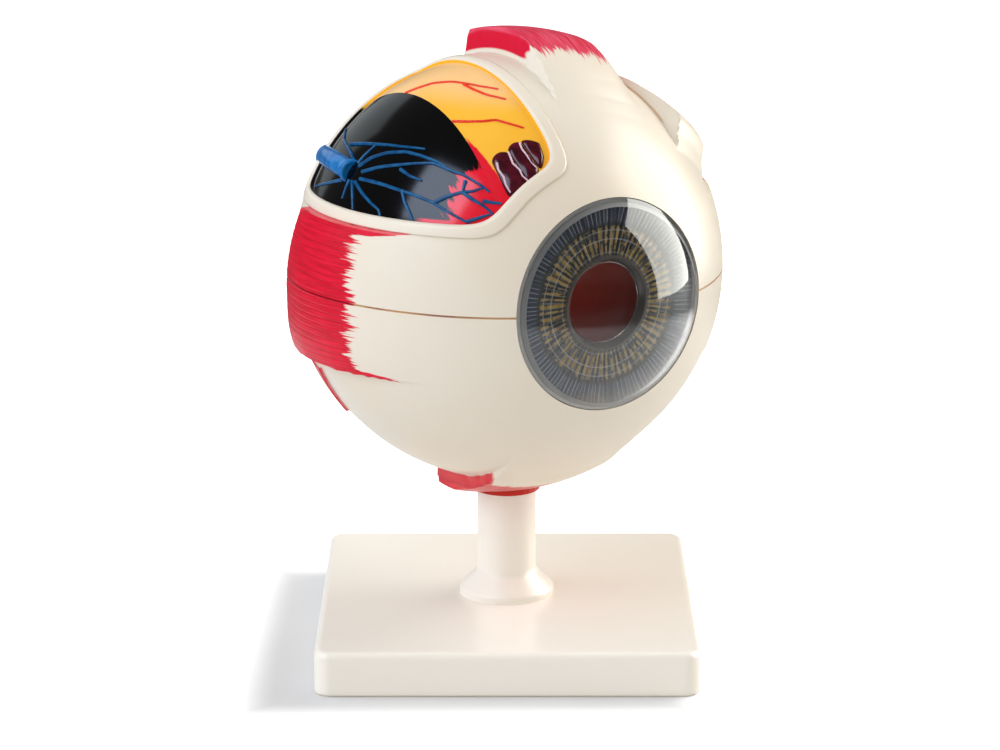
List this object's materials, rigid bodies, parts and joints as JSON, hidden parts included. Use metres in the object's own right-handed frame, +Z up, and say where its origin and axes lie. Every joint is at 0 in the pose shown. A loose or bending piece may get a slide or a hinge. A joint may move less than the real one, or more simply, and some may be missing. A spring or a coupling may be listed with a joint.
{
  "type": "eye anatomy model",
  "caption": "Take-apart model of a human eyeball on a square stand: split sclera with muscle stumps and a window, cornea, iris, lens, vitreous body and choroid halves.",
  "frame": {"origin": "middle of the base's underside, on the post's axis", "axes": "+Z up along the post; the base's front edge faces -Y and the eye looks to the front right, 31.5 degrees from -Y"},
  "size_m": [0.1235, 0.1345, 0.1759],
  "materials": {
    "cream_plastic": "gloss",
    "brass_insert": "machined",
    "steel_pins": "machined",
    "bush_plastic": "matt",
    "sclera_ivory": "gloss, painted muscle stumps",
    "choroid_black": "gloss black with blue veins",
    "retina_yellow": "gloss",
    "ciliary_maroon": "gloss",
    "vein_blue": "gloss",
    "choroid_red": "matt red outside, orange retina inside",
    "cornea_clear": "clear",
    "iris_blue": "gloss, painted radial fibres",
    "lens_clear": "clear",
    "vitreous_clear": "clear"
  },
  "bodies": {
    "stand": {"base_plate": "cream_plastic", "base_insert": "brass_insert", "post_stud": "steel_pins", "support_post": "cream_plastic", "swivel_pin": "steel_pins"},
    "bush": {"socket_bush": "bush_plastic"},
    "eyeball": {"lower_sclera_shell": "sclera_ivory", "rim_pins": "steel_pins", "optic_nerve": "sclera_ivory"},
    "upper_shell": {"upper_sclera_shell": "sclera_ivory", "choroid_inlay": "choroid_black", "retina_inlay": "retina_yellow", "ciliary_inlay": "ciliary_maroon", "vortex_vein": "vein_blue"},
    "lower_choroid": {"lower_choroid_shell": "choroid_red"},
    "vitreous": {"vitreous_body": "vitreous_clear"},
    "upper_choroid": {"upper_choroid_shell": "choroid_red"},
    "cornea": {"cornea": "cornea_clear"},
    "iris": {"iris": "iris_blue"},
    "lens": {"lens": "lens_clear"}
  },
  "joints": [
    {"name": "eyeball_lift", "type": "slide", "parent": "stand", "child": "bush", "axis": [0, 0, 1], "range_m": [0, 0.02]},
    {"name": "eyeball_turn", "type": "hinge", "parent": "bush", "child": "eyeball", "pos_m": [0, 0, 0.0438], "axis": [0, 0, 1], "continuous": true},
    {"name": "upper_shell_lift", "type": "slide", "parent": "eyeball", "child": "upper_shell", "axis": [0, 0, 1], "range_m": [0, 0.24]},
    {"name": "upper_choroid_lift", "type": "slide", "parent": "eyeball", "child": "upper_choroid", "axis": [0, 0, 1], "range_m": [0, 0.18]},
    {"name": "vitreous_lift", "type": "slide", "parent": "eyeball", "child": "vitreous", "axis": [0, 0, 1], "range_m": [0, 0.12]},
    {"name": "lower_choroid_lift", "type": "slide", "parent": "eyeball", "child": "lower_choroid", "axis": [0, 0, 1], "range_m": [0, 0.06]},
    {"name": "cornea_pull", "type": "slide", "parent": "eyeball", "child": "cornea", "axis": [0.5225, -0.8526, 0], "range_m": [0, 0.1]},
    {"name": "iris_pull", "type": "slide", "parent": "vitreous", "child": "iris", "axis": [0.5225, -0.8526, 0], "range_m": [0, 0.07]},
    {"name": "lens_pull", "type": "slide", "parent": "vitreous", "child": "lens", "axis": [0.5225, -0.8526, 0], "range_m": [0, 0.04]}
  ],
  "couplings": [
    {"joint": "upper_choroid_lift", "follows": "upper_shell_lift", "ratio": 0.75},
    {"joint": "vitreous_lift", "follows": "upper_shell_lift", "ratio": 0.5},
    {"joint": "lower_choroid_lift", "follows": "upper_shell_lift", "ratio": 0.25},
    {"joint": "iris_pull", "follows": "cornea_pull", "ratio": 0.7},
    {"joint": "lens_pull", "follows": "cornea_pull", "ratio": 0.4}
  ]
}
